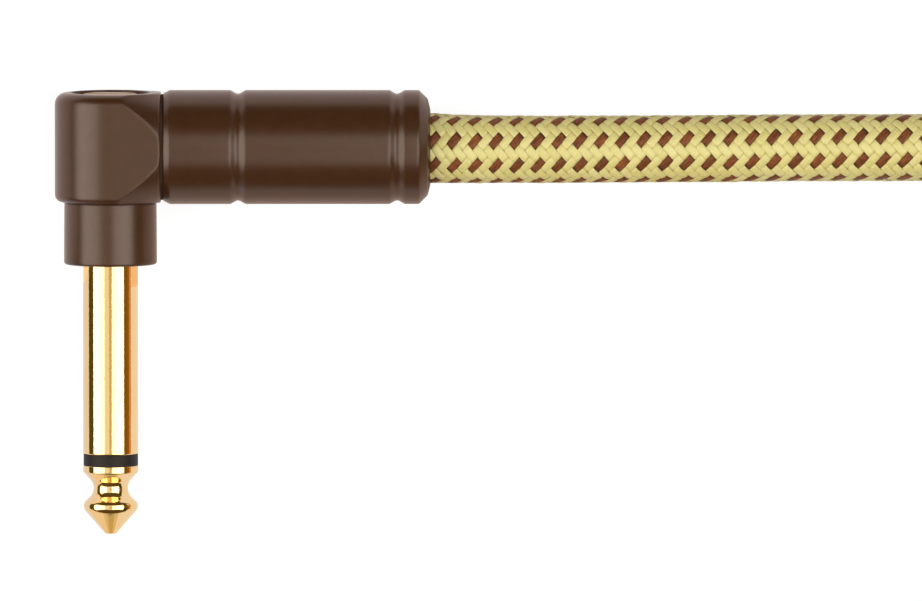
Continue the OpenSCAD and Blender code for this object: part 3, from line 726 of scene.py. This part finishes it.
def braid_floats(cord, table, first, last, along, across):
    """Points, quads, browns, tints, painted shade and strand map of the floats between two cells."""
    rows = float_middles(first, last)
    count, slope, brown = len(rows), rows[:, 2:3], rows[:, 3:4] > 0
    a, b = float_grid(along, across)
    wander = rng.normal(0, 1, (count, 4))
    cell = rows[:, 0:1] + slope * a - slope * b + 0.02 * wander[:, 0:1]
    s = np.interp(cell, table[1], table[0])
    turned_by = 0.075 * (1 - np.exp(-(np.maximum(s, 0) / 22) ** 2)) + 0.0016 * np.clip(s - 18, 0, 40)
    angle = rows[:, 1:2] + (a + b + 0.02 * wander[:, 1:2]) * CELL_ANGLE + turned_by
    dive = np.clip(np.abs(a) - DIVE_START, 0, 1)
    points = cord.place(s, angle, float_radius(a, b, dive, s) + 0.018 * wander[:, 2:3])
    points[..., 1] -= slack(s)
    index = np.arange(along * across).reshape(along, across)
    quad = np.stack([index[:-1, :-1], index[1:, :-1], index[1:, 1:], index[:-1, 1:]], -1).reshape(-1, 4)
    quads = quad[None] + (np.arange(count) * along * across)[:, None, None]
    leaning = rows[:, 2] > 0
    quads[leaning] = quads[leaning][:, :, ::-1]
    tint = np.clip(0.5 + 0.16 * wander[:, 3:4] + 0 * a, 0, 1)
    depth = float_painted_shade(a, b, dive, angle, brown)
    strand = np.stack([a + 0 * tint, b + 0 * tint], -1) + rng.uniform(0, 60, (count, 1, 2))
    browns = np.repeat(brown[:, 0], len(quad))
    return points.reshape(-1, 3), quads.reshape(-1, 4), browns, tint.ravel(), depth.ravel(), strand


def baking_map(counts, quads):
    """Map places that give each float its own square, in the order of the quads' corners."""
    total = sum(count for count, _, _ in counts)
    side = int(np.ceil(np.sqrt(total)))
    places = []
    start = 0
    for count, along, across in counts:
        u, v = np.meshgrid(np.linspace(0.06, 0.94, along), np.linspace(0.06, 0.94, across), indexing="ij")
        number = np.arange(start, start + count)[:, None]
        places.append(np.stack([(number % side + u.ravel()) / side, (number // side + v.ravel()) / side], -1))
        start += count
    places = np.concatenate([place.reshape(-1, 2) for place in places])
    return places[quads.ravel()]


def make_cable(cord):
    """The woven cover from barrel to barrel: 2-over-2 floats on 32 carriers, fine where seen close."""
    table = cells_along(cord.length)
    ends = np.interp([-TUCK, FINE_END, cord.length + TUCK], *table)
    fine = braid_floats(cord, table, ends[0], ends[1], *FINE_GRID)
    plain = braid_floats(cord, table, ends[1], ends[2], *PLAIN_GRID)
    points = np.concatenate([fine[0], plain[0]])
    quads = np.concatenate([fine[1], plain[1] + len(fine[0])])
    browns = np.concatenate([fine[2], plain[2]])
    yarns = [YARN_YELLOW, YARN_BROWN]
    piece = make_mesh("woven_cable", points, quads.ravel(), np.full(len(quads), 4), yarns, browns)
    mesh = piece.data
    # The depth attribute carries the floats' painted shade.
    for name, part in (("tint", 3), ("depth", 4)):
        layer = mesh.attributes.new(name, "FLOAT", "POINT")
        layer.data.foreach_set("value", np.concatenate([fine[part], plain[part]]).astype(np.float32))
    baking = mesh.uv_layers.new(name="OFBake")
    counts = [(len(fine[5]), *FINE_GRID), (len(plain[5]), *PLAIN_GRID)]
    baking.data.foreach_set("uv", baking_map(counts, quads).astype(np.float32).ravel())
    strand = mesh.uv_layers.new(name="strand")
    places = np.concatenate([fine[5].reshape(-1, 2), plain[5].reshape(-1, 2)])
    strand.data.foreach_set("uv", places[quads.ravel()].astype(np.float32).ravel())
    return piece


def make_under_tube(cord):
    """The tube that shows between the floats: yarn beneath them, in a darker olive that is partly painted shade
    in the gaps.
    """
    sides = UNDER_SIDES
    s = np.concatenate([np.arange(-TUCK, cord.length, 2.0), [cord.length + TUCK]])
    angle = np.arange(sides) * 2 * pi / sides
    s_grid, angle_grid = np.meshgrid(s, angle, indexing="ij")
    points = cord.place(s_grid, angle_grid, np.full(s_grid.shape, UNDER_R))
    points[..., 1] -= slack(s_grid)
    points = points.reshape(-1, 3)
    i, j = np.meshgrid(np.arange(len(s) - 1), np.arange(sides), indexing="ij")
    a, b = i * sides + j, i * sides + (j + 1) % sides
    quads = np.stack([a, b, b + sides, a + sides], -1).reshape(-1, 4)
    loops = np.concatenate([quads.ravel(), np.arange(sides)[::-1], np.arange(sides) + (len(s) - 1) * sides])
    sizes = np.concatenate([np.full(len(quads), 4), [sides, sides]])
    return make_mesh("cable_core", points, loops, sizes, [UNDER_YARN_SHADED])


# Turned pieces

def rounded(points, step=radians(6)):
    """A closed outline from (radius, height) or (radius, height, corner radius)."""
    flat = [Vector(p[:2]) for p in points]
    result = []
    for i, p in enumerate(points):
        if len(p) < 3:
            result.append(tuple(flat[i]))
            continue
        a, b, c = flat[i - 1], flat[i], flat[(i + 1) % len(points)]
        u, v = (a - b).normalized(), (c - b).normalized()
        half = u.angle(v) / 2
        middle = b + (u + v).normalized() * p[2] / sin(half)
        start = b + u * p[2] / tan(half) - middle
        stop = b + v * p[2] / tan(half) - middle
        sweep = pi - 2 * half
        way = 1 if start.x * stop.y > start.y * stop.x else -1
        steps = max(2, int(sweep / step) + 1)
        for k in range(steps + 1):
            turn = way * sweep * k / steps
            x = middle.x + start.x * cos(turn) - start.y * sin(turn)
            y = middle.y + start.x * sin(turn) + start.y * cos(turn)
            result.append((x, y))
    return result


def face_outward(piece, sharp, merge=False):
    """Normals turned outward, and edges over this angle in degrees kept sharp."""
    edit = bmesh.new()
    edit.from_mesh(piece.data)
    if merge:
        bmesh.ops.remove_doubles(edit, verts=edit.verts, dist=1e-8)
        bmesh.ops.dissolve_degenerate(edit, edges=edit.edges, dist=1e-8)
    bmesh.ops.recalc_face_normals(edit, faces=edit.faces)
    edit.to_mesh(piece.data)
    edit.free()
    piece.data.set_sharp_from_angle(angle=radians(sharp))
    return piece


def turned(name, outline, origin, axis, material, segments=144):
    """A closed turned piece about an axis, with the outline's heights along it."""
    profile = np.array(rounded(outline))
    axis = np.array(axis, float)
    u = np.cross(axis, (0, 0, 1.0)) if abs(axis[2]) < 0.9 else np.array((1.0, 0, 0))
    v = np.cross(axis, u)
    angle = np.arange(segments) * 2 * pi / segments
    ring = np.cos(angle)[:, None] * u + np.sin(angle)[:, None] * v
    points = np.array(origin) + profile[:, None, 0:1] * ring[None] + profile[:, None, 1:2] * axis
    n = len(profile)
    i, j = np.meshgrid(np.arange(n), np.arange(segments), indexing="ij")
    a, b = i * segments + j, i * segments + (j + 1) % segments
    c, d = (i + 1) % n * segments + (j + 1) % segments, (i + 1) % n * segments + j
    quads = np.stack([a, b, c, d], -1).reshape(-1, 4)
    piece = make_mesh(name, points.reshape(-1, 3), quads.ravel(), np.full(len(quads), 4), [material])
    return face_outward(piece, 24, True)


def sleeve_outline():
    """The gold sleeve with its shank, from the washer to the black ring."""
    bore = ROD_TUBE_R + PRESS_GAP
    return [
        (bore, -SLEEVE_BACK), (SHANK_R, -SLEEVE_BACK), (SHANK_R, 0), (SHAFT_R, 0),
        (SHAFT_R, SLEEVE_LEN, 0.22), (bore, SLEEVE_LEN),
    ]


def tip_outline():
    """The gold tip with its rod and rivet: land, neck, bulge and nose."""
    return [
        (0, -RIVET_BACK), (RIVET_R, -RIVET_BACK, 0.3), (RIVET_R, -LUG_BACK), (ROD_R, -LUG_BACK),
        (ROD_R, LAND_START), (SHAFT_R, LAND_START, 0.06), (SHAFT_R, LAND_END, 0.3),
        (NECK_R, NECK_AT - 0.56, 1.4), (NECK_R, NECK_AT + 0.56, 1.4),
        (BULGE_R, BULGE_AT - 0.44, 0.75), (BULGE_R, BULGE_AT + 0.3, 1.05),
        (0.62, PLUG_LEN, 0.45), (0, PLUG_LEN),
    ]


def ring_outline():
    """The black ring between sleeve and tip."""
    bore = ROD_R + PRESS_GAP
    return [(bore, SLEEVE_LEN), (RING_R, SLEEVE_LEN), (RING_R, LAND_START), (bore, LAND_START)]


def groove(middle):
    """A turned groove round the barrel."""
    low = BARREL_R - 0.41
    return [
        (BARREL_R, middle - 0.86, 0.5), (low, middle - 0.16, 0.75), (low, middle + 0.16, 0.75),
        (BARREL_R, middle + 0.86, 0.5),
    ]


def barrel_outline(length):
    """A barrel with two grooves and the cable's exit bore."""
    r, rear = BARREL_R, SEAL_W + length
    return [
        (BARREL_BORE_R, SEAL_W), (r - 0.38, SEAL_W, 0.15), (r, SEAL_W + 0.76, 0.5), *groove(SEAL_W + 8.55),
        *groove(rear - 3.8), (r, rear - 1.3, 0.3), (r - 1, rear - 0.3, 0.35), (EXIT_R, rear),
        (EXIT_R, rear - 2.2), (BARREL_BORE_R, rear - 2.2),
    ]


# Each plug's sleeve, tip and ring nodes, the middle of its shoulder and the way that it points.
PLUGS = [
    (("plug_sleeve", "tip_contact", "tip_ring"), (PLUG_X, SHOULDER_Y, AXIS_Z), (0, -1, 0)),
    (("far_sleeve", "far_tip_contact", "far_tip_ring"), (FAR_SHOULDER_X, FAR_Y, AXIS_Z), (-1, 0, 0)),
]
BARRELS = [
    ("barrel", "barrel_screw", (JOINT_X, BARREL_Y, AXIS_Z), 30.55),
    ("far_barrel", "far_barrel_screw", (FAR_JOINT_X, FAR_Y, AXIS_Z), 34.0),
]


def dress(piece, body, slot, *replaced):
    """Puts a piece on its body and in place of these nodes; the slot is not used."""
    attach(piece, body)
    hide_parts(*replaced)
    return piece


def make_turned_pieces():
    """Smooth plugs and barrels in place of the CAD model's faceted ones."""
    pieces = {}
    kinds = [
        (sleeve_outline(), "gold_contact"), (tip_outline(), "gold_contact"), (ring_outline(), "black_ring"),
    ]
    for names, origin, axis in PLUGS:
        for name, (outline, slot) in zip(names, kinds):
            piece = turned("turned_" + name, outline, origin, axis, MATERIALS[slot])
            pieces[name] = dress(piece, "cable_body", slot, name)
    for name, body, origin, length in BARRELS:
        piece = turned("turned_" + name, barrel_outline(length), origin, (1, 0, 0), MATERIALS["housing"])
        pieces[name] = dress(piece, body, "housing", name)
    return pieces


# Tie

# Tie: its inside from the coil's middle, its top, its width and thickness, its corners and its loose end.
TIE_TURN = radians(-45)
TIE_IN = 21.444
TIE_OUT = 55.131
TIE_TOP = 34.0
TIE_W = 16.0
TIE_T = 1.0
TIE_CORNER = 3.3
FLAP_HALF = 10.0
FLAP_RISE = 0.27


def strap_section(width, thickness, rows=7):
    """A strap's cut: flat faces, thin bound edges and a seam line inside each edge, as (across, up)."""
    half = width / 2
    top = [(-half, 0.3), (-half + 0.25, 0.52), (-half + 1.3, 0.6), (-half + 1.55, 0.5), (-half + 1.9, 0.62)]
    top += [(x, 0.68) for x in np.linspace(-half + 3, half - 3, rows)]
    top += [(-x, y) for x, y in top[4::-1]]
    low = [(x, -0.26) for x in (half - 0.4, half / 2, 0, -half / 2, -half + 0.4)]
    return [(x, y * thickness) for x, y in top + low]


def swept_strap(name, path, normals, section, close, across):
    """A strap swept along a path, with outward normals and a fixed direction across."""
    path, normals, across = np.array(path), np.array(normals), np.array(across)
    cut = np.array(section)
    points = path[:, None] + cut[None, :, 0:1] * across + cut[None, :, 1:2] * normals[:, None]
    rows, sides = points.shape[:2]
    spans = rows if close else rows - 1
    i, j = np.meshgrid(np.arange(spans), np.arange(sides), indexing="ij")
    a, b = i * sides + j, i * sides + (j + 1) % sides
    c, d = (i + 1) % rows * sides + (j + 1) % sides, (i + 1) % rows * sides + j
    quads = np.stack([a, b, c, d], -1).reshape(-1, 4)
    loops, sizes = list(quads.ravel()), [4] * len(quads)
    if not close:
        loops += list(range(sides)) + [(rows - 1) * sides + k for k in reversed(range(sides))]
        sizes += [sides, sides]
    piece = make_mesh(name, points.reshape(-1, 3), loops, sizes, [MATERIALS["tie_fabric"]])
    return face_outward(piece, 50)


STITCH_PITCH = 2.4
STITCH_HALF = 0.85
STITCH_R = 0.19
SEAM_IN = 1.55
SEAM_RISE = 0.56


def stitch_row(path, normals, across, offset, close):
    """Points of thread dashes along a strap's path, offset from its middle: dash, ring and corner."""
    path, normals = np.array(path), np.array(normals, float)
    if close:
        path, normals = np.concatenate([path, path[:1]]), np.concatenate([normals, normals[:1]])
    along = np.concatenate([[0], np.cumsum(np.linalg.norm(np.diff(path, axis=0), axis=1))])
    count = int(along[-1] / STITCH_PITCH)
    middles = (np.arange(count) + 0.5) * along[-1] / count

    def at(values, places):
        return np.stack([np.interp(places, along, values[:, i]) for i in range(3)], -1)

    up = at(normals, middles)
    up /= np.linalg.norm(up, axis=1)[:, None]
    ahead = at(path, middles + 0.4) - at(path, middles - 0.4)
    ahead /= np.linalg.norm(ahead, axis=1)[:, None]
    middle = at(path, middles) + offset * np.array(across) + SEAM_RISE * TIE_T * up
    t = np.linspace(-0.98, 0.98, 7)
    angle = np.arange(6) * pi / 3
    out = np.cos(angle)[:, None] * up[:, None, None] + np.sin(angle)[:, None] * np.array(across)
    spine = middle[:, None] + STITCH_HALF * t[:, None] * ahead[:, None]
    return spine[:, :, None] + STITCH_R * np.sqrt(1 - t ** 2)[:, None, None] * out


def make_stitches(rows):
    """One piece with all the tie's stitches, from the points of its rows."""
    points = np.concatenate(rows)
    count, rings, sides = points.shape[:3]
    i, j = np.meshgrid(np.arange(rings - 1), np.arange(sides), indexing="ij")
    a, b = i * sides + j, i * sides + (j + 1) % sides
    quads = np.stack([a, b, b + sides, a + sides], -1).reshape(-1, 4)
    ends = np.stack([np.arange(sides)[::-1], np.arange(sides) + (rings - 1) * sides])
    starts = np.arange(count)[:, None] * rings * sides
    loops = np.concatenate([(starts + quads.ravel()).ravel(), (starts + ends.ravel()).ravel()])
    sizes = np.concatenate([np.full(count * len(quads), 4), np.full(2 * count, sides)])
    return make_mesh("tie_stitches", points.reshape(-1, 3), loops, sizes, [STITCH])


def turn_only(x, y, z):
    """A direction from the tie's own axes: out from the coil's middle, across the strap and up."""
    return (x * cos(TIE_TURN) - y * sin(TIE_TURN), x * sin(TIE_TURN) + y * cos(TIE_TURN), z)


def on_tie(x, y, z):
    """A place from the tie's own axes."""
    x, y, z = turn_only(x, y, z)
    return (COIL_X + x, COIL_Y + y, z)


def loop_path():
    """The strap's path round the coil and its normals: a rounded rectangle, as its CAD solid is."""
    grow = 0.3 * TIE_T
    x0, x1, z0, z1 = TIE_IN - grow, TIE_OUT + grow, TIE_T - grow, TIE_TOP + grow
    path, normals = [], []
    for cx, cz, first in (
        (x1 - TIE_CORNER, z0 + TIE_CORNER, -90), (x1 - TIE_CORNER, z1 - TIE_CORNER, 0),
        (x0 + TIE_CORNER, z1 - TIE_CORNER, 90), (x0 + TIE_CORNER, z0 + TIE_CORNER, 180),
    ):
        for k in range(9):
            turn = radians(first + 90 * k / 8)
            path.append(on_tie(cx + TIE_CORNER * cos(turn), 0, cz + TIE_CORNER * sin(turn)))
            normals.append(turn_only(cos(turn), 0, sin(turn)))
    return path, normals


def make_tie():
    """The hook-and-loop strap round the coil and its loose end pressed down on top."""
    path, normals = loop_path()
    across = turn_only(0, 1, 0)
    loop = swept_strap("tie_loop", path, normals, strap_section(TIE_W, TIE_T), True, across)
    dress(loop, "cable_body", "tie_fabric", "coil_tie")
    seams = [TIE_W / 2 - SEAM_IN, SEAM_IN - TIE_W / 2]
    rows = [stitch_row(path, normals, across, seam, True) for seam in seams]
    middle, top = (TIE_IN + TIE_OUT) / 2, TIE_TOP + TIE_T + FLAP_RISE
    path = [on_tie(middle - FLAP_HALF + 2 * FLAP_HALF * k / 20, 0, top) for k in range(21)]
    normals = [(0, 0, 1)] * len(path)
    flap = swept_strap("tie_end", path, normals, strap_section(TIE_W - 0.2, TIE_T), False, across)
    dress(flap, "cable_body", "tie_fabric", "tie_flap")
    rows += [stitch_row(path, normals, across, seam, False) for seam in seams]
    ahead = turn_only(1, 0, 0)
    for x in (FLAP_HALF - 3.2, FLAP_HALF - 1.6):
        line = [on_tie(middle + x, y, top + 0.1 * TIE_T) for y in np.linspace(-6.2, 6.2, 5)]
        rows.append(stitch_row(line, [(0, 0, 1)] * 5, ahead, 0, False))
    stitches = dress(make_stitches(rows), "cable_body", "tie_fabric")
    return [loop, flap, stitches]


# The scene

add_camera()
add_light_setup()
add_floor()
add_flags()

for item in frame["record"]["subparts"]:
    materials = nodes[item["node"]].data.materials
    materials.clear()
    materials.append(MATERIALS[item["material_slot"]])
for name, material in (("joint_seal", SEAL), ("far_joint_seal", SEAL), ("access_cap", CAP_GOLD_SHADED)):
    nodes[name].data.materials.clear()
    nodes[name].data.materials.append(material)

turned_pieces = make_turned_pieces()
tie = make_tie()

cable = Cord(cable_route())
cover = make_cable(cable)
core = make_under_tube(cable)
dress(cover, "cable_body", "woven_cover", "cable_lead", "cable_coil", "cable_tail")
dress(core, "cable_body", "woven_cover")
